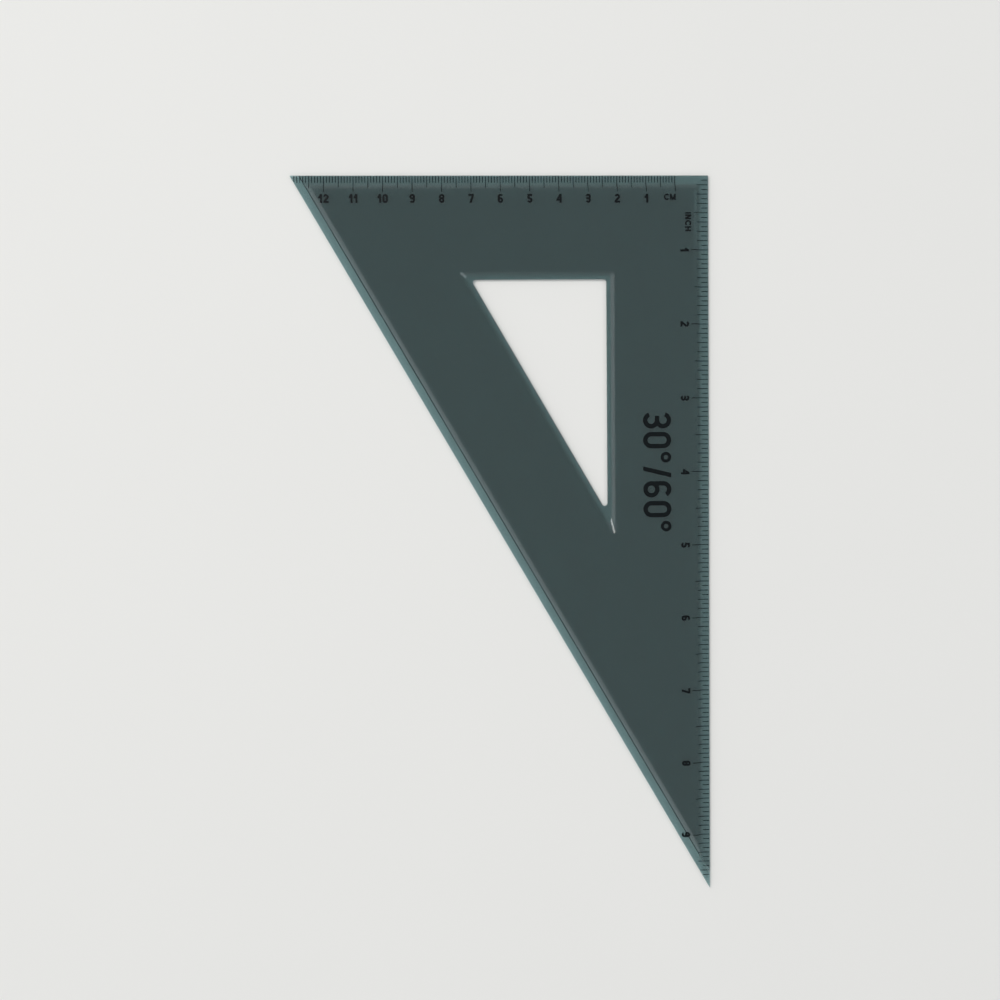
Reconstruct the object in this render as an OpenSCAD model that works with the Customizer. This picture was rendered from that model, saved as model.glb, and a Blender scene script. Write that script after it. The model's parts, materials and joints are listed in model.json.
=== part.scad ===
// Tinted 30/60/90 drafting triangle with a metric and an inch edge.
// Frame: it lies flat on z = 0, its long leg along Y at +X, its short leg along X at +Y.
// The origin is the centre of the underside's bounding box, which is the middle of the hypotenuse.

/* [Plate] */
// Length of the long leg
long_leg = 247.65; // [205:0.05:400]
// Angle at the far tip, between the long leg and the hypotenuse
tip_angle = 30; // [25:1:45]
// Thickness of the flat body
plate_t = 2; // [1.4:0.1:4]

/* [Edges] */
// Thickness of the thin ledge that runs along every outer edge
ledge_t = 0.8; // [0.6:0.05:1.2]
// Width of the ledge on the two graduated legs
ledge_w = 2.9; // [2:0.1:5]
// Width of the slope that rises from that ledge to the top face
slope_w = 1.7; // [0.5:0.1:3]
// Width of the ledge on the hypotenuse
hyp_ledge_w = 2.9; // [2:0.1:5]
// Width of the slope that rises from the hypotenuse's ledge
hyp_slope_w = 1.4; // [0.5:0.1:3]
// Height of the relief under the hypotenuse, which keeps a wet line off the plate
relief_h = 0.3; // [0.1:0.05:0.4]

/* [Cut-out] */
// Width of the frame between each outer edge and the cut-out, on the top face
frame_w = 32.7; // [26:0.1:40]
// Width of the slope around the cut-out, down to its lip
lift_slope_w = 1.2; // [0.6:0.1:2.5]
// Width of the thin lip around the opening
lift_lip_w = 1.4; // [0.6:0.1:2.5]
// Thickness of that lip
lift_lip_t = 1; // [0.6:0.05:1.3]
// Corner radius of the cut-out
cut_r = 1; // [0.5:0.1:3]

/* [Metric scale] */
// Distance of the zero line from the long leg's edge
cm_zero = 11.5; // [5:0.1:20]
// Length of a millimetre line
mm_len = 2.4; // [1.5:0.1:2.8]
// Length of a five millimetre line
half_cm_len = 4.2; // [3:0.1:5]
// Length of a centimetre line
cm_len = 5.6; // [4:0.1:8]
// Space left free between the last line and the hypotenuse's corner
cm_end_gap = 1.4; // [1:0.1:10]

/* [Inch scale] */
// Distance of the zero from the short leg's edge
inch_zero = 0; // [0:0.1:10]
// Length of a sixteenth line
sixteenth_len = 2.4; // [1.5:0.1:2.8]
// Length of a quarter and eighth line
eighth_len = 4; // [3:0.1:5]
// Length of a half inch line
half_inch_len = 5; // [3.5:0.1:6]
// Length of an inch line
inch_len = 6.1; // [4:0.1:8]
// Space left free between the last line and the tip
inch_end_gap = 4.7; // [4:0.1:20]

/* [Printing] */
// Width of a graduation line
line_w = 0.24; // [0.15:0.01:0.4]
// Thickness of the ink
ink_t = 0.05; // [0.03:0.01:0.15]
// Unprinted margin at the plate's edges
print_margin = 0.2; // [0.1:0.05:0.5]
// Height of the numerals on both scales
numeral_h = 3; // [2.4:0.1:5]
// Stroke width of the numerals
numeral_stroke = 0.7; // [0.3:0.05:0.75]
// Gap between the longest line and the numerals
numeral_gap = 0.8; // [0.4:0.1:3]
// Height of the unit labels
label_h = 2.1; // [1.5:0.1:3]
// Stroke width of the unit labels
label_stroke = 0.5; // [0.2:0.02:0.6]
// Distance of the inch label's middle from the short leg's edge
inch_label_at = 15.9; // [12:0.1:22]
// Height of the angle mark
mark_h = 9.7; // [5:0.1:10.5]
// Stroke width of the angle mark
mark_stroke = 1.5; // [0.8:0.1:2]
// Depth of the angle mark's top from the long leg's edge
mark_depth = 13.3; // [11:0.1:15]
// Distance of the angle mark's middle from the short leg's edge
mark_at = 101.6; // [50:0.1:140]

/* [Hidden] */
$fn = 48;
inch = 25.4;
sixteenth = inch / 16;
// cutters run this far past the faces they cut
over = 1;
plate_colour = [0.36, 0.45, 0.5];
ink_colour = [0.08, 0.1, 0.13];
// space between two letters, as a share of their height
letter_gap = 0.13;
// a centimetre numeral is printed where the scale runs on this far past its line
numeral_room = 8;
short_leg = long_leg * tan(tip_angle);
hypotenuse = long_leg / cos(tip_angle);
half_x = short_leg / 2;
half_y = long_leg / 2;
// inward headings of the three edges
short_leg_heading = -90;
long_leg_heading = 180;
hypotenuse_heading = tip_angle;
// last division of each scale that has room
mm_count = floor(short_leg - cm_zero - cm_end_gap);
sixteenth_count = floor((long_leg - inch_zero - inch_end_gap) / sixteenth);
hole_inset = frame_w + lift_slope_w + lift_lip_w;
lip_inset = frame_w + lift_slope_w;

// ---- the plate ----

// The triangle's corners, each moved inward until it is d from both of its edges
function inset_outline(d) = [
    [half_x - d, half_y - d],
    [-half_x + d / tan((90 - tip_angle) / 2), half_y - d],
    [half_x - d, -half_y + d / tan(tip_angle / 2)]
];

// A section drawn as [distance in from the edge, height], run along the edge through a point
module along_edge(point, heading, run)
    translate([point.x, point.y, 0])
        rotate([90, 0, heading])
            linear_extrude(run, center = true)
                children();

// What is cut away above a ledge and its slope
module ledge_section(ledge, slope)
    polygon([
        [-over, ledge_t],
        [ledge, ledge_t],
        [ledge + slope, plate_t],
        [ledge + slope, plate_t + over],
        [-over, plate_t + over]
    ]);

// Its children with the ledge and slope cut along one edge
module step_edge(point, heading, ledge, slope)
    difference() {
        children();
        along_edge(point, heading, 2 * hypotenuse) ledge_section(ledge, slope);
    }

// The triangle with its stepped edges, without the cut-out
module stepped_plate()
    step_edge([0, half_y], short_leg_heading, ledge_w, slope_w)
        step_edge([half_x, 0], long_leg_heading, ledge_w, slope_w)
            step_edge([0, 0], hypotenuse_heading, hyp_ledge_w, hyp_slope_w)
                linear_extrude(plate_t) polygon(inset_outline(0));

// Discs in the corners of an opening that is d in from the outer edges
module corner_discs(d, z, h)
    for (corner = inset_outline(d + cut_r))
        translate([corner.x, corner.y, z])
            cylinder(r = cut_r, h = h);

module opening()
    hull() corner_discs(hole_inset, -over, plate_t + 2 * over);

// The slope around the opening, carried on past the top face at the same pitch
module finger_lift() {
    pitch = lift_slope_w / (plate_t - lift_lip_t);
    disc = 0.01;
    hull() {
        corner_discs(lip_inset, lift_lip_t, disc);
        corner_discs(frame_w - pitch * over, plate_t + over, disc);
    }
}

module hypotenuse_relief()
    along_edge([0, 0], hypotenuse_heading, 2 * hypotenuse)
        polygon([
            [-over, -over],
            [hyp_ledge_w, -over],
            [hyp_ledge_w, 0],
            [hyp_ledge_w - relief_h, relief_h],
            [-over, relief_h]
        ]);

module blade()
    color(plate_colour)
        difference() {
            stepped_plate();
            hypotenuse_relief();
            opening();
            finger_lift();
        }

// ---- printing ----

// A film of ink on the plate's top surface, wherever the flat drawing covers it
module printed()
    color(ink_colour)
        intersection() {
            linear_extrude(plate_t + 2 * ink_t)
                intersection() {
                    children();
                    polygon(inset_outline(print_margin));
                }
            difference() {
                translate([0, 0, ink_t]) stepped_plate();
                stepped_plate();
            }
        }

// A line on the metric scale, d millimetres from its zero
module metric_line(d, length)
    translate([half_x - cm_zero - d - line_w / 2, half_y - length])
        square([line_w, length]);

// A line on the inch scale, k sixteenths from its zero
module inch_scale_line(k, length)
    translate([half_x - length, half_y - inch_zero - k * sixteenth - line_w / 2])
        square([length, line_w]);

module millimetre_lines()
    printed() for (d = [0 : mm_count]) if (d % 5 != 0) metric_line(d, mm_len);

module half_centimetre_lines()
    printed() for (d = [5 : 10 : mm_count]) metric_line(d, half_cm_len);

module centimetre_lines()
    printed() for (d = [0 : 10 : mm_count]) metric_line(d, cm_len);

module sixteenth_lines()
    printed() for (k = [1 : 2 : sixteenth_count]) inch_scale_line(k, sixteenth_len);

module eighth_lines()
    printed() for (k = [2 : 2 : sixteenth_count]) if (k % 8 != 0) inch_scale_line(k, eighth_len);

module half_inch_lines()
    printed() for (k = [8 : 16 : sixteenth_count]) inch_scale_line(k, half_inch_len);

module inch_lines()
    printed() for (k = [16 : 16 : sixteenth_count]) inch_scale_line(k, inch_len);

// ---- lettering ----
// Each character stands on y = 0 and starts at x = 0, h high with strokes t wide.
// Its other numbers are shares of its height, its width w, its bowl radius r or its stroke.
// Two equal bowls that share a stroke fill the height, so a digit is as wide as one bowl.

function bowl_r(h, t) = (h + t) / 4;

function letter_w(c, h, t) =
    c == "I" ? t :
    c == "1" ? bowl_r(h, t) + t / 2 :
    c == "M" ? h * 0.95 :
    c == "C" ? h * 0.88 :
    c == "N" || c == "H" ? h * 0.78 :
    c == "/" ? h * 0.4 :
    c == "o" ? h * 0.38 :
    2 * bowl_r(h, t);

// Width of the first n characters of s and the gaps after them
function run_w(s, n, h, t) =
    n == 0 ? 0 : run_w(s, n - 1, h, t) + letter_w(s[n - 1], h, t) + letter_gap * h;

function word_w(s, h, t) = run_w(s, len(s), h, t) - letter_gap * h;

// Five points on an arc, from angle a to angle b
function arc_points(r, a, b) = [
    for (i = [0 : 4])
        let (angle = a + (b - a) * i / 4)
            r * [cos(angle), sin(angle)]
];

// Part of a ring stroke around [x, y], from angle a to angle b
module arc_stroke(x, y, r, t, a, b)
    translate([x, y])
        intersection() {
            difference() {
                circle(r);
                circle(r - t);
            }
            polygon(concat([[0, 0]], arc_points(2 * r, a, b)));
        }

module ring_stroke(x, y, r, t)
    translate([x, y])
        difference() {
            circle(r);
            circle(r - t);
        }

// A straight stroke with level ends, t wide along x, from [x0, y0] up to [x1, y1]
module slant_stroke(x0, y0, x1, y1, t)
    polygon([[x0, y0], [x0 + t, y0], [x1 + t, y1], [x1, y1]]);

module bar(x, y, w, h) translate([x, y]) square([w, h]);

module six(h, t) {
    r = bowl_r(h, t);
    ring_stroke(r, r, r, t);
    bar(0, r, t, h - 2 * r);
    arc_stroke(r, h - r, r, t, 30, 180);
}

module letter(c, h, t) {
    r = bowl_r(h, t);
    w = letter_w(c, h, t);
    if (c == "0") {
        arc_stroke(r, h - r, r, t, 0, 180);
        arc_stroke(r, r, r, t, 180, 360);
        bar(0, r, t, h - 2 * r);
        bar(w - t, r, t, h - 2 * r);
    }
    if (c == "1") {
        bar(w - t, 0, t, h);
        polygon([[0, h - 2 * t], [w - t, h - 2 * t], [w - t, h], [w - 1.5 * t, h - t], [0, h - 1.3 * t]]);
    }
    if (c == "2") {
        arc_stroke(r, h - r, r, t, -40, 170);
        polygon([
            [0, t],
            [1.35 * t, t],
            [r + (r - t / 2) * cos(-40) + t * 0.45, h - r + (r - t / 2) * sin(-40) - t * 0.2],
            [r + (r - t) * cos(-40), h - r + (r - t) * sin(-40)]
        ]);
        bar(0, 0, w, t);
    }
    if (c == "3") {
        arc_stroke(r, h - r, r, t, -90, 160);
        arc_stroke(r, r, r, t, -160, 90);
        bar(r - t, h / 2 - t / 2, t, t);
    }
    if (c == "4") {
        bar(0.62 * w, 0, t, h);
        bar(0, 0.22 * h, w, t);
        slant_stroke(0, 0.22 * h + t / 2, 0.62 * w, h, t);
    }
    if (c == "5") {
        arc_stroke(r, r, r, t, -160, 140);
        bar(0.08 * w, 1.5 * r, t, h - 1.5 * r);
        bar(0.08 * w, h - t, 0.86 * w, t);
    }
    if (c == "6") six(h, t);
    if (c == "7") {
        bar(0, h - t, w, t);
        slant_stroke(0.2 * w, 0, w - 1.1 * t, h - t, 1.1 * t);
    }
    if (c == "8") {
        ring_stroke(r, r, r, t);
        ring_stroke(r, h - r, r, t);
    }
    if (c == "9") translate([w, h]) rotate(180) six(h, t);
    if (c == "C") arc_stroke(h / 2, h / 2, h / 2, t, 42, 318);
    if (c == "M") {
        bar(0, 0, t, h);
        bar(w - t, 0, t, h);
        slant_stroke(w / 2 - t / 2, 0, 0, h, t);
        slant_stroke(w / 2 - t / 2, 0, w - t, h, t);
    }
    if (c == "I") bar(0, 0, t, h);
    if (c == "N") {
        bar(0, 0, t, h);
        bar(w - t, 0, t, h);
        slant_stroke(w - 1.2 * t, 0, 0, h, 1.2 * t);
    }
    if (c == "H") {
        bar(0, 0, t, h);
        bar(w - t, 0, t, h);
        bar(0, h / 2 - t / 2, w, t);
    }
    if (c == "/") slant_stroke(0, 0, w - t, h, t);
    if (c == "o") ring_stroke(w / 2, h - w / 2, w / 2, t * 0.7);
}

// A word whose middle is at x = 0 and whose top is at y = 0
module word(s, h, t)
    for (i = [0 : len(s) - 1])
        translate([run_w(s, i, h, t) - word_w(s, h, t) / 2, -h])
            letter(s[i], h, t);

// Lettering on the inch edge: its top faces the long leg and it reads towards the tip
module beside_long_leg(depth, from_short_leg)
    translate([half_x - depth, half_y - from_short_leg])
        rotate(-90)
            children();

module centimetre_numerals()
    printed() for (n = [1 : floor((mm_count - numeral_room) / 10)])
        translate([half_x - cm_zero - 10 * n, half_y - cm_len - numeral_gap])
            word(str(n), numeral_h, numeral_stroke);

module centimetre_label()
    printed()
        translate([
            half_x - cm_zero + line_w / 2 - word_w("CM", label_h, label_stroke) / 2,
            half_y - cm_len - numeral_gap
        ])
            word("CM", label_h, label_stroke);

module inch_numerals()
    printed() for (n = [1 : floor(sixteenth_count / 16)])
        beside_long_leg(inch_len + numeral_gap, inch_zero + n * inch)
            word(str(n), numeral_h, numeral_stroke);

module inch_label()
    printed()
        beside_long_leg(inch_len, inch_label_at)
            word("INCH", label_h, label_stroke);

module angle_mark()
    printed()
        beside_long_leg(mark_depth, mark_at)
            word("30o/60o", mark_h, mark_stroke);

blade();
millimetre_lines();
half_centimetre_lines();
centimetre_lines();
centimetre_numerals();
centimetre_label();
sixteenth_lines();
eighth_lines();
half_inch_lines();
inch_lines();
inch_numerals();
inch_label();
angle_mark();
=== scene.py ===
"""Looks of a tinted drafting triangle: the moulded plate, its printed scales and a plain studio."""

import json
import math

import bmesh
import bpy
from mathutils import Euler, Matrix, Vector

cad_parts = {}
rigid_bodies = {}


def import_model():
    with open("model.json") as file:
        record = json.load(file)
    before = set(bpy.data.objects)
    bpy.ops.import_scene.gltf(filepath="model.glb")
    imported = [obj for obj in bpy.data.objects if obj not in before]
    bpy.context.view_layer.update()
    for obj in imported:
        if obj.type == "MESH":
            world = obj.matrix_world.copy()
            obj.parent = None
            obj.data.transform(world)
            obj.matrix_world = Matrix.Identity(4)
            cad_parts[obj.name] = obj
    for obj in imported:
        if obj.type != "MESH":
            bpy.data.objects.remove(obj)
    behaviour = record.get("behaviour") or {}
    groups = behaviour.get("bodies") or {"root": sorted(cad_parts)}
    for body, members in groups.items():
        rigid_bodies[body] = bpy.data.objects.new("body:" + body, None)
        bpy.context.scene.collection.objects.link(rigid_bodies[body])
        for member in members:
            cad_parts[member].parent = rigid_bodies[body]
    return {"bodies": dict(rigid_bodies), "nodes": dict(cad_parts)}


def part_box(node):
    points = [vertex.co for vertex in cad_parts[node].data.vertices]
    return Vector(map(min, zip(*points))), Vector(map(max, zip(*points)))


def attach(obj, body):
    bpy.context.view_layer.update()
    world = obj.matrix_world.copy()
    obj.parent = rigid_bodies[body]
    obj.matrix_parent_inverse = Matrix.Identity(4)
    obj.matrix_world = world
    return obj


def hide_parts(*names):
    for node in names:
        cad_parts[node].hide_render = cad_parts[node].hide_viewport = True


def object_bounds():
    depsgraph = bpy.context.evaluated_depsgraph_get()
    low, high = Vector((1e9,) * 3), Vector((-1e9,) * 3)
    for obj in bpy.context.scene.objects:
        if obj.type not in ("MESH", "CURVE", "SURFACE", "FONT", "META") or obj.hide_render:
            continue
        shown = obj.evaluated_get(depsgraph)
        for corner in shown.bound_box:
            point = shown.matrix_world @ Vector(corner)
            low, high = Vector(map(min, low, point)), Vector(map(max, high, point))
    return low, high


bl_info = {
    "name": "Drafting Triangle",
    "version": (1, 0, 0),
    "blender": (4, 5, 0),
    "location": "3D View > Sidebar > Drafting Triangle",
    "description": "Dresses a drafting triangle with its tinted plate, printed scales and studio",
    "category": "Object",
}

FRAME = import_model()
CAD_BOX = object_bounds()
BODY = next(iter(FRAME["bodies"]))
MM = 0.001
INCH = 0.0254

LETTERING = (
    "centimetre_numerals", "centimetre_label", "inch_numerals", "inch_label", "angle_mark",
)

# how the CAD mesh is read, and how finely its edges are rounded
SAME_POINT = 0.001 * MM
SAME_PLANE = math.radians(0.5)
UPRIGHT_LEAN = 0.01 * MM
CORNER_REACH = 1.2 * MM
CORNER_SEGMENTS = 4
EDGE_SEGMENTS = 3
SHARP_EDGE = math.radians(12)

# how a printed line finds the plate below it
LOOK_FROM = 0.02
LOOK_DOWN = 0.05
JOIN_LINE = 0.002 * MM
LEAVE_NONE_OUT = 1000

# noise on object coordinates: scale, detail, stretch along the axes, turn about Z
EVEN = (1.0, 1.0, 1.0)
PATTERNS = {
    "handled": (28.0, 4.0, EVEN, 0.0),
    "rubbed": (900.0, 2.0, (1.0, 0.03, 1.0), math.radians(24)),
    "scuffed": (1100.0, 2.0, (1.0, 0.02, 1.0), math.radians(-52)),
    "flow": (9.0, 1.0, (1.0, 0.45, 1.0), math.radians(-12)),
    "coverage": (1400.0, 3.0, EVEN, 0.0),
    "mottle": (14.0, 5.0, EVEN, 0.0),
}

# the part of each pattern that shows, from nothing to full
HANDLED_SHOWS = (0.35, 0.7)
RUBS_SHOW = (0.70, 0.80)
SCUFFS_SHOW = (0.72, 0.82)
THIN_INK_SHOWS = (0.45, 0.75)
INK_GLOSS_SHOWS = (0.3, 0.7)

# surface values: roughness, and bumps as strength and height
HAIRLINE_ROUGHNESS = 0.10
HAIRLINE_DEPTH = -0.01
FLOW_BUMP = (0.35, 0.0004)
INK_SPECULAR = 0.1
INK_ROUGHNESS = (0.38, 0.46)
INK_BUMP = (0.1, 0.00001)
FLOOR_ROUGHNESS = 0.7
FLOOR_SPECULAR = 0.25
FLOOR_MOTTLE = 0.985

# the studio: the floor, where the room's light changes, the two lights and the camera
FLOOR_RADIUS = 4.0
FLOOR_SIDES = 64
ROOM_COLOUR = (0.97, 0.985, 1.0, 1.0)
OVERHEAD = (0.88, 0.965)
LEFT_TO_RIGHT = (-0.75, 0.5)
LOW_TO_HIGH = (0.42, 0.66)
KEY = {"place": (-1.2, 0.95, 2.5), "size": 1.7, "colour": (1.0, 0.985, 0.96)}
FILL = {"place": (1.15, -0.6, 1.3), "size": 0.9, "colour": (0.95, 0.98, 1.0)}
SENSOR_WIDTH = 36.0
NEAREST, FARTHEST = 0.01, 20.0


# ---- sizes and finishes that a user may change ----


class PlateSettings(bpy.types.PropertyGroup):
    """The moulded plate's edges and its tinted plastic"""

    corner_round: bpy.props.FloatProperty(
        name="Corner Round", description="Radius of the plate's upright corners",
        default=0.25 * MM, min=0.0, unit="LENGTH", precision=5,
    )
    edge_round: bpy.props.FloatProperty(
        name="Edge Round", description="Width of the small round on every other edge",
        default=0.2 * MM, min=0.0, unit="LENGTH", precision=5,
    )
    pigment: bpy.props.FloatVectorProperty(
        name="Pigment", description="Colour of the pigment that makes the plastic slightly milky",
        default=(0.66, 0.87, 0.89), subtype="COLOR", min=0.0, max=1.0,
    )
    clearness: bpy.props.FloatProperty(
        name="Clearness",
        description="Share of the light that passes the surface instead of scattering at it",
        default=0.945, min=0.0, max=1.0,
    )
    tint: bpy.props.FloatVectorProperty(
        name="Tint", description="Colour of the light that the plastic lets through longest",
        default=(0.296, 0.353, 0.354), subtype="COLOR", min=0.0, max=1.0,
    )
    density: bpy.props.FloatProperty(
        name="Tint Density", description="How strongly each metre of plastic absorbs light",
        default=900.0, min=0.0,
    )
    index: bpy.props.FloatProperty(
        name="Refractive Index", description="Refractive index of clear polystyrene",
        default=1.58, min=1.0, max=3.0,
    )
    gloss_low: bpy.props.FloatProperty(
        name="Smoothest", description="Roughness where the plate is cleanest",
        default=0.02, min=0.0, max=1.0,
    )
    gloss_high: bpy.props.FloatProperty(
        name="Most Handled", description="Roughness where the plate is most rubbed",
        default=0.075, min=0.0, max=1.0,
    )


class PrintSettings(bpy.types.PropertyGroup):
    """The printed lines and lettering"""

    line_width: bpy.props.FloatProperty(
        name="Line Width", description="Width of a graduation line",
        default=0.24 * MM, min=0.05 * MM, unit="LENGTH", precision=5,
    )
    line_taper: bpy.props.FloatProperty(
        name="Line Taper", description="How much narrower the ink is at its top, on each side",
        default=0.02 * MM, min=0.0, unit="LENGTH", precision=5,
    )
    edge_margin: bpy.props.FloatProperty(
        name="Edge Margin",
        description="Bare plastic between the ink and the plate's edges",
        default=0.2 * MM, min=0.0, unit="LENGTH", precision=5,
    )
    cut_every: bpy.props.FloatProperty(
        name="Cross Cut Spacing",
        description="Distance between the cuts that let a line bend over the plate's steps",
        default=0.28 * MM, min=0.05 * MM, unit="LENGTH", precision=5,
    )
    ink: bpy.props.FloatVectorProperty(
        name="Ink", description="Colour of the printing ink",
        default=(0.004, 0.0065, 0.0075), subtype="COLOR", min=0.0, max=1.0,
    )
    ink_worn: bpy.props.FloatVectorProperty(
        name="Thin Ink", description="Colour of the ink where it lies thinnest",
        default=(0.006, 0.009, 0.0105), subtype="COLOR", min=0.0, max=1.0,
    )


class StudioSettings(bpy.types.PropertyGroup):
    """The floor, the lights and the camera"""

    floor_gap: bpy.props.FloatProperty(
        name="Floor Gap", description="Air between the plate and the floor",
        default=0.15 * MM, min=0.0, unit="LENGTH", precision=5,
    )
    floor_colour: bpy.props.FloatVectorProperty(
        name="Floor", description="Colour of the pale floor",
        default=(0.80, 0.80, 0.785), subtype="COLOR", min=0.0, max=1.0,
    )
    wall_strength: bpy.props.FloatProperty(
        name="Wall Light", description="Strength of the room's light from its upper walls",
        default=0.51, min=0.0,
    )
    ceiling_strength: bpy.props.FloatProperty(
        name="Ceiling Light", description="Strength of the room's light from straight overhead",
        default=0.10, min=0.0,
    )
    low_left_share: bpy.props.FloatProperty(
        name="Low Left Light", description="Share of the wall light low down on the left",
        default=1.9, min=0.0,
    )
    low_right_share: bpy.props.FloatProperty(
        name="Low Right Light", description="Share of the wall light low down on the right",
        default=0.38, min=0.0,
    )
    key_power: bpy.props.FloatProperty(
        name="Key Light", description="Power of the large soft light",
        default=53.5, min=0.0, unit="POWER",
    )
    fill_power: bpy.props.FloatProperty(
        name="Fill Light", description="Power of the soft light on the other side",
        default=3.3, min=0.0, unit="POWER",
    )
    camera_place: bpy.props.FloatVectorProperty(
        name="Camera Place", description="Where the camera stands",
        default=(-0.0258, 0.0357, 0.5162), subtype="TRANSLATION", unit="LENGTH", precision=4,
    )
    camera_turn: bpy.props.FloatVectorProperty(
        name="Camera Turn", description="How the camera is turned from looking straight down",
        default=tuple(math.radians(a) for a in (-2.489, -2.777, -0.503)),
        subtype="EULER", unit="ROTATION",
    )
    lens: bpy.props.FloatProperty(
        name="Focal Length", description="Focal length of the camera in millimetres",
        default=54.0, min=10.0,
    )


# ---- helpers ----


def shown(name, mesh, material, slot, *nodes):
    """A finished piece at the origin that rides the frame and stands for some CAD nodes."""
    piece = bpy.data.objects.new(name, mesh)
    bpy.context.scene.collection.objects.link(piece)
    piece.data.materials.clear()
    piece.data.materials.append(material)
    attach(piece, BODY)
    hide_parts(*nodes)
    return piece


def applied(maker):
    """The mesh that an object's modifiers make, after which the object is removed."""
    bpy.context.view_layer.update()
    depsgraph = bpy.context.evaluated_depsgraph_get()
    mesh = bpy.data.meshes.new_from_object(
        maker.evaluated_get(depsgraph), preserve_all_data_layers=True, depsgraph=depsgraph
    )
    bpy.data.objects.remove(maker)
    return mesh


def node_material(name):
    """A new material's node tree and its Principled shader."""
    material = bpy.data.materials.new(name)
    material.use_nodes = True
    tree = material.node_tree
    shader = next(n for n in tree.nodes if n.type == "BSDF_PRINCIPLED")
    return material, tree, shader


def noise(tree, coords, pattern):
    """One of the named patterns on object coordinates."""
    scale, detail, stretch, turn = PATTERNS[pattern]
    mapping = tree.nodes.new("ShaderNodeMapping")
    mapping.inputs["Scale"].default_value = stretch
    mapping.inputs["Rotation"].default_value = (0.0, 0.0, turn)
    texture = tree.nodes.new("ShaderNodeTexNoise")
    texture.inputs["Scale"].default_value = scale
    texture.inputs["Detail"].default_value = detail
    tree.links.new(coords, mapping.inputs["Vector"])
    tree.links.new(mapping.outputs["Vector"], texture.inputs["Vector"])
    return texture.outputs["Fac"]


def feed(tree, socket, value):
    """Links an output to a socket, or sets the socket to a number."""
    if isinstance(value, bpy.types.NodeSocket):
        tree.links.new(value, socket)
    else:
        socket.default_value = value


def ramp(tree, factor, low, high, start=0.0, end=1.0):
    """factor moved from the range low to high into the range start to end."""
    remap = tree.nodes.new("ShaderNodeMapRange")
    tree.links.new(factor, remap.inputs["Value"])
    ends = (("From Min", low), ("From Max", high), ("To Min", start), ("To Max", end))
    for socket, value in ends:
        feed(tree, remap.inputs[socket], value)
    return remap.outputs["Result"]


def eased(tree, factor, low, high, start, end):
    """The same as ramp, with soft ends."""
    result = ramp(tree, factor, low, high, start, end)
    result.node.interpolation_type = "SMOOTHSTEP"
    return result


def combined(tree, operation, first, second):
    """One Math node on two outputs, or on an output and a number."""
    node = tree.nodes.new("ShaderNodeMath")
    node.operation = operation
    for socket, value in zip(node.inputs, (first, second)):
        feed(tree, socket, value)
    return node.outputs[0]


def mixed(tree, factor, first, second):
    """A colour between two, by a factor."""
    mix = tree.nodes.new("ShaderNodeMix")
    mix.data_type = "RGBA"
    sockets = [s for s in mix.inputs if s.type == "RGBA"]
    for socket, colour in zip(sockets, (first, second)):
        socket.default_value = (*colour, 1.0)
    tree.links.new(factor, mix.inputs["Factor"])
    return next(s for s in mix.outputs if s.type == "RGBA")


def bump(tree, shader, height, strength, distance):
    """Feeds a height into the shader's normal."""
    node = tree.nodes.new("ShaderNodeBump")
    node.inputs["Strength"].default_value = strength
    node.inputs["Distance"].default_value = distance
    tree.links.new(height, node.inputs["Height"])
    tree.links.new(node.outputs["Normal"], shader.inputs["Normal"])


# ---- materials ----


def tinted_plastic(settings):
    """Smoke-blue polystyrene: tinted all through, a little milky, polished, with faint rubs."""
    material, tree, shader = node_material("tinted_polystyrene")
    shader.inputs["Base Color"].default_value = (*settings.pigment, 1.0)
    shader.inputs["Transmission Weight"].default_value = settings.clearness
    shader.inputs["IOR"].default_value = settings.index
    absorb = tree.nodes.new("ShaderNodeVolumeAbsorption")
    absorb.inputs["Color"].default_value = (*settings.tint, 1.0)
    absorb.inputs["Density"].default_value = settings.density
    output = next(n for n in tree.nodes if n.type == "OUTPUT_MATERIAL")
    tree.links.new(absorb.outputs["Volume"], output.inputs["Volume"])

    coords = tree.nodes.new("ShaderNodeTexCoord").outputs["Object"]
    handled = noise(tree, coords, "handled")
    rubs = ramp(tree, noise(tree, coords, "rubbed"), *RUBS_SHOW)
    scuffs = ramp(tree, noise(tree, coords, "scuffed"), *SCUFFS_SHOW)
    hairlines = combined(tree, "MAXIMUM", rubs, scuffs)
    haze = ramp(tree, handled, *HANDLED_SHOWS, settings.gloss_low, settings.gloss_high)
    dulled = combined(tree, "MULTIPLY", hairlines, HAIRLINE_ROUGHNESS)
    tree.links.new(combined(tree, "ADD", haze, dulled), shader.inputs["Roughness"])

    grooves = combined(tree, "MULTIPLY", hairlines, HAIRLINE_DEPTH)
    relief = combined(tree, "ADD", grooves, noise(tree, coords, "flow"))
    bump(tree, shader, relief, *FLOW_BUMP)
    return material


def printing_ink(settings):
    """Near-black satin ink, a little thinner in places."""
    material, tree, shader = node_material("printing_ink")
    shader.inputs["Specular IOR Level"].default_value = INK_SPECULAR
    coords = tree.nodes.new("ShaderNodeTexCoord").outputs["Object"]
    coverage = noise(tree, coords, "coverage")
    colour = mixed(tree, ramp(tree, coverage, *THIN_INK_SHOWS), settings.ink, settings.ink_worn)
    tree.links.new(colour, shader.inputs["Base Color"])
    rough = ramp(tree, coverage, *INK_GLOSS_SHOWS, *INK_ROUGHNESS)
    tree.links.new(rough, shader.inputs["Roughness"])
    bump(tree, shader, coverage, *INK_BUMP)
    return material


def ink():
    """The one ink that every printed piece shares."""
    return bpy.data.materials.get("printing_ink") or printing_ink(bpy.context.scene.triangle_print)


# ---- the plate ----


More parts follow.
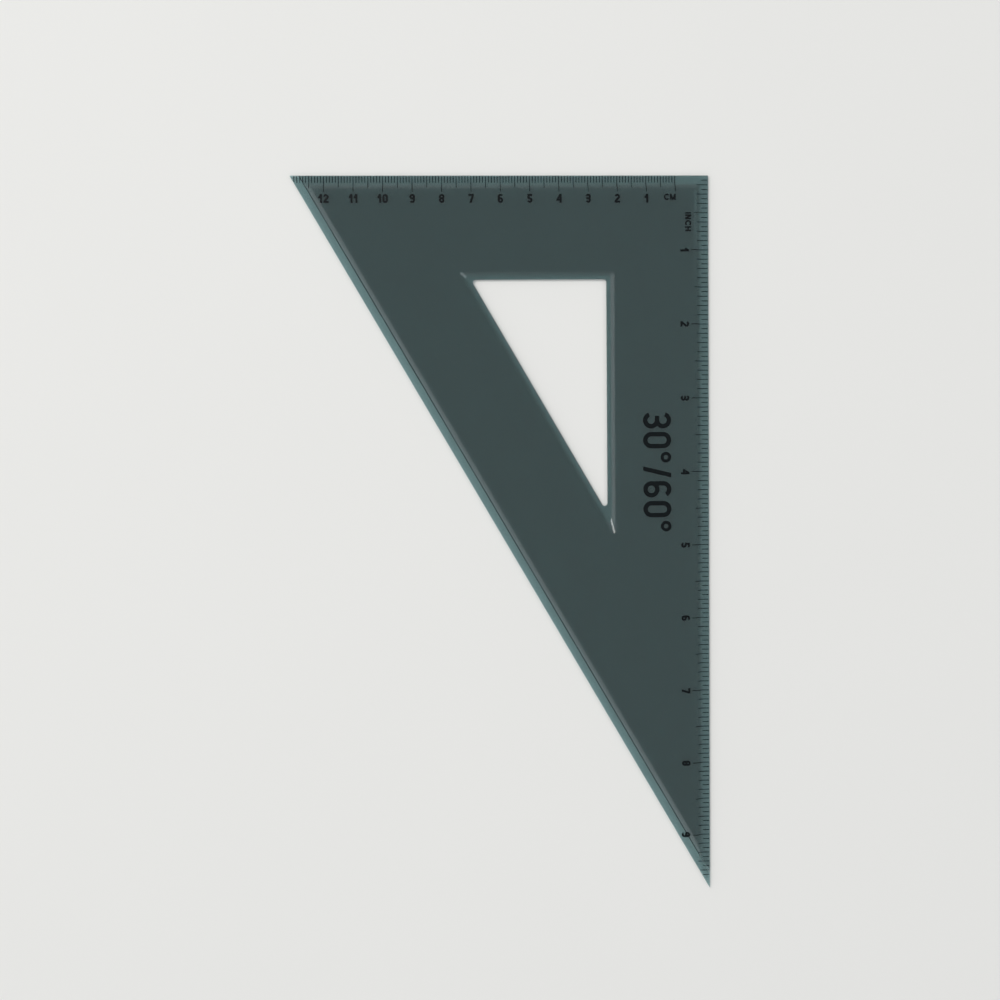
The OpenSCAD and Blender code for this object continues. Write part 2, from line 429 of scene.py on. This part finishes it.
def flat_faced_copy(node):
    """A CAD node's shape as a mesh of whole flat faces."""
    form = bmesh.new()
    form.from_mesh(FRAME["nodes"][node].data)
    bmesh.ops.remove_doubles(form, verts=form.verts, dist=SAME_POINT)
    bmesh.ops.dissolve_limit(form, angle_limit=SAME_PLANE, verts=form.verts, edges=form.edges)
    return form


def outline_corners(form, low, high):
    """The upright edges at the plate's three outer corners."""
    corners = (Vector((high.x, high.y)), Vector((low.x, high.y)), Vector((high.x, low.y)))

    def at_corner(edge):
        a, b = (v.co.xy for v in edge.verts)
        return (a - b).length < UPRIGHT_LEAN and any((a - c).length < CORNER_REACH for c in corners)

    return [e for e in form.edges if at_corner(e)]


def keep_flats_flat(mesh):
    """Gives each vertex the normal of its widest faces, so that only the rounds look curved."""
    normals = [Vector() for _ in mesh.vertices]
    for face in mesh.polygons:
        for vertex in face.vertices:
            normals[vertex] += face.normal * face.area**2
    mesh.normals_split_custom_set_from_vertices([n.normalized() for n in normals])


def rounded_plate(settings):
    """The plate's CAD shape with its upright corners and all its edges rounded."""
    form = flat_faced_copy("blade")
    low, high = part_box("blade")
    bmesh.ops.bevel(
        form, geom=outline_corners(form, low, high), offset=settings.corner_round,
        segments=CORNER_SEGMENTS, profile=0.5, affect="EDGES", clamp_overlap=True,
    )
    mesh = bpy.data.meshes.new("plate")
    form.to_mesh(mesh)
    form.free()
    mesh.shade_smooth()
    maker = bpy.data.objects.new("plate_maker", mesh)
    bpy.context.scene.collection.objects.link(maker)
    bevel = maker.modifiers.new("Edge Round", "BEVEL")
    bevel.width = settings.edge_round
    bevel.segments = EDGE_SEGMENTS
    bevel.limit_method = "ANGLE"
    bevel.angle_limit = SHARP_EDGE
    bevel.use_clamp_overlap = True
    mesh = applied(maker)
    keep_flats_flat(mesh)
    return mesh


class TRIANGLE_OT_plate(bpy.types.Operator):
    """Make the moulded plate with rounded edges, in clear tinted plastic"""

    bl_idname = "drafting_triangle.plate"
    bl_label = "Plate"

    def execute(self, context):
        settings = context.scene.triangle_plate
        mesh = rounded_plate(settings)
        shown("plate", mesh, tinted_plastic(settings), "smoke_plastic", "blade")
        return {"FINISHED"}


# ---- the printed lines ----


def line_block(start, end, half_width, settings, thickness):
    """One printed line: a thin closed block from start to end, cut across so that it can bend."""
    along = end - start
    side = Vector((-along.y, along.x, 0.0)).normalized()
    section = (
        (-half_width, 0.0),
        (half_width, 0.0),
        (half_width - settings.line_taper, thickness),
        (settings.line_taper - half_width, thickness),
    )
    cells = max(1, round(along.length / settings.cut_every))
    form = bmesh.new()
    rings = []
    for i in range(cells + 1):
        middle = start + along * (i / cells)
        points = [middle + side * across + Vector((0.0, 0.0, up)) for across, up in section]
        rings.append([form.verts.new(point) for point in points])
    for ring, following in zip(rings, rings[1:]):
        for j in range(4):
            k = (j + 1) % 4
            form.faces.new((ring[j], following[j], following[k], ring[k]))
    form.faces.new(rings[0])
    form.faces.new(reversed(rings[-1]))
    bmesh.ops.recalc_face_normals(form, faces=form.faces)
    mesh = bpy.data.meshes.new("line")
    form.to_mesh(mesh)
    form.free()
    return mesh


class Graph:
    """Adds geometry nodes and links them with little writing."""

    def __init__(self, tree):
        self.tree = tree

    def node(self, kind, out=0, **settings):
        made = self.tree.nodes.new(kind)
        inputs = settings.pop("inputs", {})
        for name, value in settings.items():
            setattr(made, name, value)
        for socket, value in inputs.items():
            feed(self.tree, made.inputs[socket], value)
        return made.outputs[out]

    def math(self, operation, *values):
        return self.node("ShaderNodeMath", operation=operation, inputs=dict(enumerate(values)))

    def vector(self, operation, a, b=None, scale=None, out="Vector"):
        inputs = {0: a}
        if b is not None:
            inputs[1] = b
        if scale is not None:
            inputs["Scale"] = scale
        return self.node("ShaderNodeVectorMath", out=out, operation=operation, inputs=inputs)


def scale_tree():
    """Repeats a printed line along a scale, trims it at the hypotenuse, lays it on the plate."""
    tree = bpy.data.node_groups.new("Printed Scale", "GeometryNodeTree")
    named = (
        ("Line", "NodeSocketGeometry"),
        ("Count", "NodeSocketInt"),
        ("Step", "NodeSocketVector"),
        ("Leave Out Every", "NodeSocketInt"),
        ("Plate", "NodeSocketObject"),
        ("Hypotenuse Inward", "NodeSocketVector"),
        ("Margin", "NodeSocketFloat"),
        ("Outward", "NodeSocketVector"),
        ("Ink", "NodeSocketMaterial"),
    )
    for name, kind in named:
        tree.interface.new_socket(name, in_out="INPUT", socket_type=kind)
    tree.interface.new_socket("Geometry", in_out="OUTPUT", socket_type="NodeSocketGeometry")
    given = tree.nodes.new("NodeGroupInput").outputs
    graph = Graph(tree)

    # one point for each line, without those that belong to a longer kind of line
    row = graph.node(
        "GeometryNodeMeshLine", out="Mesh",
        inputs={"Count": given["Count"], "Offset": given["Step"]},
    )
    number = graph.math("ADD", graph.node("GeometryNodeInputIndex"), 1.0)
    kept = graph.math("MODULO", number, given["Leave Out Every"])
    lines = graph.node(
        "GeometryNodeInstanceOnPoints", out="Instances",
        inputs={"Points": row, "Instance": given["Line"], "Selection": kept},
    )
    lines = graph.node("GeometryNodeRealizeInstances", inputs={"Geometry": lines})

    # what would cross the hypotenuse is drawn back towards the line's own edge of the plate
    place = graph.node("GeometryNodeInputPosition")
    room = graph.vector("DOT_PRODUCT", place, given["Hypotenuse Inward"], out="Value")
    short_by = graph.math("MAXIMUM", graph.math("SUBTRACT", given["Margin"], room), 0.0)
    slope = graph.vector("DOT_PRODUCT", given["Outward"], given["Hypotenuse Inward"], out="Value")
    back = graph.vector("SCALE", given["Outward"], scale=graph.math("DIVIDE", short_by, slope))
    lines = graph.node("GeometryNodeSetPosition", inputs={"Geometry": lines, "Offset": back})

    # each point keeps its height above the plate's own surface, found straight below it
    surface = graph.node(
        "GeometryNodeObjectInfo", out="Geometry", transform_space="RELATIVE",
        inputs={"Object": given["Plate"]},
    )
    above = graph.vector("ADD", place, (0.0, 0.0, LOOK_FROM))
    ray = tree.nodes.new("GeometryNodeRaycast")
    tree.links.new(surface, ray.inputs["Target Geometry"])
    tree.links.new(above, ray.inputs["Source Position"])
    ray.inputs["Ray Direction"].default_value = (0.0, 0.0, -1.0)
    ray.inputs["Ray Length"].default_value = LOOK_DOWN
    drop = graph.vector("MULTIPLY", ray.outputs["Hit Position"], (0.0, 0.0, 1.0))
    lines = graph.node(
        "GeometryNodeSetPosition",
        inputs={"Geometry": lines, "Selection": ray.outputs["Is Hit"], "Offset": drop},
    )
    lines = graph.node(
        "GeometryNodeMergeByDistance", inputs={"Geometry": lines, "Distance": JOIN_LINE}
    )
    lines = graph.node("GeometryNodeRealizeInstances", inputs={"Geometry": lines})
    lines = graph.node(
        "GeometryNodeSetMaterial", inputs={"Geometry": lines, "Material": given["Ink"]}
    )
    tree.links.new(lines, tree.nodes.new("NodeGroupOutput").inputs["Geometry"])
    return tree


def printed_scale(node, outward, spacing, leave_out_every=LEAVE_NONE_OUT):
    """The lines of one CAD node, made again along the same edge, at the same places."""
    settings = bpy.context.scene.triangle_print
    low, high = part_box(node)
    plate_low, plate_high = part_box("blade")
    half = settings.line_width / 2
    ink_thickness = CAD_BOX[1].z - plate_high.z
    along = Vector((-outward.y, -outward.x, 0.0))
    if outward.y:
        start = Vector((high.x - half, plate_high.y - settings.edge_margin, 0.0))
        end = Vector((start.x, low.y, 0.0))
        run = high.x - low.x
    else:
        start = Vector((plate_high.x - settings.edge_margin, high.y - half, 0.0))
        end = Vector((low.x, start.y, 0.0))
        run = high.y - low.y
    line = line_block(start, end, half, settings, ink_thickness)
    maker = bpy.data.objects.new("scale_maker", line)
    bpy.context.scene.collection.objects.link(maker)
    lines = maker.modifiers.new("Printed Scale", "NODES")
    lines.node_group = bpy.data.node_groups.get("Printed Scale") or scale_tree()
    across = (plate_high - plate_low).xy
    values = {
        "Count": round((run - settings.line_width) / spacing) + 1,
        "Step": along * spacing,
        "Leave Out Every": leave_out_every,
        "Plate": bpy.data.objects["plate"],
        "Hypotenuse Inward": Vector((across.y, across.x, 0.0)).normalized(),
        "Margin": settings.edge_margin,
        "Outward": outward,
        "Ink": ink(),
    }
    for item in lines.node_group.interface.items_tree:
        if item.in_out == "INPUT" and item.name in values:
            lines[item.identifier] = values[item.name]
    piece = shown(node + "_print", applied(maker), ink(), "ink", node)
    piece.data.shade_flat()


class TRIANGLE_OT_metric_scale(bpy.types.Operator):
    """Print the millimetre, five millimetre and centimetre lines along the short leg"""

    bl_idname = "drafting_triangle.metric_scale"
    bl_label = "Metric Scale"

    def execute(self, context):
        edge = Vector((0.0, 1.0, 0.0))
        printed_scale("millimetre_lines", edge, MM, leave_out_every=5)
        printed_scale("half_centimetre_lines", edge, 10 * MM)
        printed_scale("centimetre_lines", edge, 10 * MM)
        return {"FINISHED"}


class TRIANGLE_OT_inch_scale(bpy.types.Operator):
    """Print the sixteenth, eighth, half inch and inch lines along the long leg"""

    bl_idname = "drafting_triangle.inch_scale"
    bl_label = "Inch Scale"

    def execute(self, context):
        edge = Vector((1.0, 0.0, 0.0))
        printed_scale("sixteenth_lines", edge, INCH / 8)
        printed_scale("eighth_lines", edge, INCH / 8, leave_out_every=4)
        printed_scale("half_inch_lines", edge, INCH)
        printed_scale("inch_lines", edge, INCH)
        return {"FINISHED"}


class TRIANGLE_OT_lettering(bpy.types.Operator):
    """Give the numerals, the unit labels and the angle mark their ink"""

    bl_idname = "drafting_triangle.lettering"
    bl_label = "Lettering"

    def execute(self, context):
        for name in LETTERING:
            mesh = FRAME["nodes"][name].data
            for i in range(len(mesh.materials)):
                mesh.materials[i] = ink()
        return {"FINISHED"}


# ---- the studio ----


def floor_finish(settings):
    """Pale matt paint with a very faint mottle."""
    material, tree, shader = node_material("pale_floor")
    coords = tree.nodes.new("ShaderNodeTexCoord").outputs["Object"]
    darker = [c * FLOOR_MOTTLE for c in settings.floor_colour]
    colour = mixed(tree, noise(tree, coords, "mottle"), settings.floor_colour, darker)
    tree.links.new(colour, shader.inputs["Base Color"])
    shader.inputs["Roughness"].default_value = FLOOR_ROUGHNESS
    shader.inputs["Specular IOR Level"].default_value = FLOOR_SPECULAR
    return material


def soft_light(name, power, place, size, colour):
    """A square area light that looks at the plate's middle."""
    light = bpy.data.lights.new(name, "AREA")
    light.shape = "SQUARE"
    light.size = size
    light.energy = power
    light.color = colour
    lamp = bpy.data.objects.new(name, light)
    lamp.location = place
    lamp.rotation_euler = (-Vector(place)).to_track_quat("-Z", "Y").to_euler()
    bpy.context.scene.collection.objects.link(lamp)


def room_light(settings):
    """Soft light from a room: dim overhead and low down, where only the left wall is bright."""
    world = bpy.data.worlds.new("room")
    world.use_nodes = True
    tree = world.node_tree
    background = next(n for n in tree.nodes if n.type == "BACKGROUND")
    background.inputs["Color"].default_value = ROOM_COLOUR
    split = tree.nodes.new("ShaderNodeSeparateXYZ")
    tree.links.new(tree.nodes.new("ShaderNodeTexCoord").outputs["Generated"], split.inputs[0])
    right, up = split.outputs["X"], split.outputs["Z"]
    overhead = eased(tree, up, *OVERHEAD, settings.wall_strength, settings.ceiling_strength)
    low = eased(tree, right, *LEFT_TO_RIGHT, settings.low_left_share, settings.low_right_share)
    rise = eased(tree, up, *LOW_TO_HIGH, low, 1.0)
    tree.links.new(combined(tree, "MULTIPLY", overhead, rise), background.inputs["Strength"])
    return world


class TRIANGLE_OT_studio(bpy.types.Operator):
    """Make the pale floor, the soft lights and the camera"""

    bl_idname = "drafting_triangle.studio"
    bl_label = "Studio"

    def execute(self, context):
        scene = context.scene
        settings = scene.triangle_studio
        form = bmesh.new()
        bmesh.ops.create_circle(form, cap_ends=True, segments=FLOOR_SIDES, radius=FLOOR_RADIUS)
        bmesh.ops.translate(form, verts=form.verts, vec=(0.0, 0.0, -settings.floor_gap))
        mesh = bpy.data.meshes.new("floor")
        form.to_mesh(mesh)
        form.free()
        floor = bpy.data.objects.new("floor", mesh)
        floor.data.materials.append(floor_finish(settings))
        scene.collection.objects.link(floor)

        scene.world = room_light(settings)
        soft_light("key", settings.key_power, **KEY)
        soft_light("fill", settings.fill_power, **FILL)

        lens = bpy.data.cameras.new("camera")
        lens.sensor_width = SENSOR_WIDTH
        lens.lens = settings.lens
        lens.clip_start, lens.clip_end = NEAREST, FARTHEST
        camera = bpy.data.objects.new("camera", lens)
        camera.location = settings.camera_place
        camera.rotation_euler = Euler(settings.camera_turn)
        scene.collection.objects.link(camera)
        scene.camera = camera
        scene.view_settings.view_transform = "Standard"
        return {"FINISHED"}


class TRIANGLE_PT_panel(bpy.types.Panel):
    """Lists the triangle's pieces and their settings"""

    bl_label = "Drafting Triangle"
    bl_idname = "TRIANGLE_PT_panel"
    bl_space_type = "VIEW_3D"
    bl_region_type = "UI"
    bl_category = "Drafting Triangle"

    def draw(self, context):
        layout = self.layout
        scene = context.scene
        groups = (
            (scene.triangle_plate, PlateSettings, (TRIANGLE_OT_plate,)),
            (
                scene.triangle_print,
                PrintSettings,
                (TRIANGLE_OT_metric_scale, TRIANGLE_OT_inch_scale, TRIANGLE_OT_lettering),
            ),
            (scene.triangle_studio, StudioSettings, (TRIANGLE_OT_studio,)),
        )
        for settings, kind, operators in groups:
            box = layout.box()
            for name in kind.__annotations__:
                box.prop(settings, name)
            for operator in operators:
                box.operator(operator.bl_idname)


SETTINGS = (
    ("triangle_plate", PlateSettings),
    ("triangle_print", PrintSettings),
    ("triangle_studio", StudioSettings),
)
OPERATORS = (
    TRIANGLE_OT_plate,
    TRIANGLE_OT_metric_scale,
    TRIANGLE_OT_inch_scale,
    TRIANGLE_OT_lettering,
    TRIANGLE_OT_studio,
)


def register():
    for name, kind in SETTINGS:
        bpy.utils.register_class(kind)
        setattr(bpy.types.Scene, name, bpy.props.PointerProperty(type=kind))
    for kind in (*OPERATORS, TRIANGLE_PT_panel):
        bpy.utils.register_class(kind)


def unregister():
    for kind in reversed((*OPERATORS, TRIANGLE_PT_panel)):
        bpy.utils.unregister_class(kind)
    for name, kind in reversed(SETTINGS):
        delattr(bpy.types.Scene, name)
        bpy.utils.unregister_class(kind)


def main():
    """Make every piece in order."""
    register()
    bpy.ops.drafting_triangle.plate()
    bpy.ops.drafting_triangle.metric_scale()
    bpy.ops.drafting_triangle.inch_scale()
    bpy.ops.drafting_triangle.lettering()
    bpy.ops.drafting_triangle.studio()


if __name__ == "__main__":
    main()
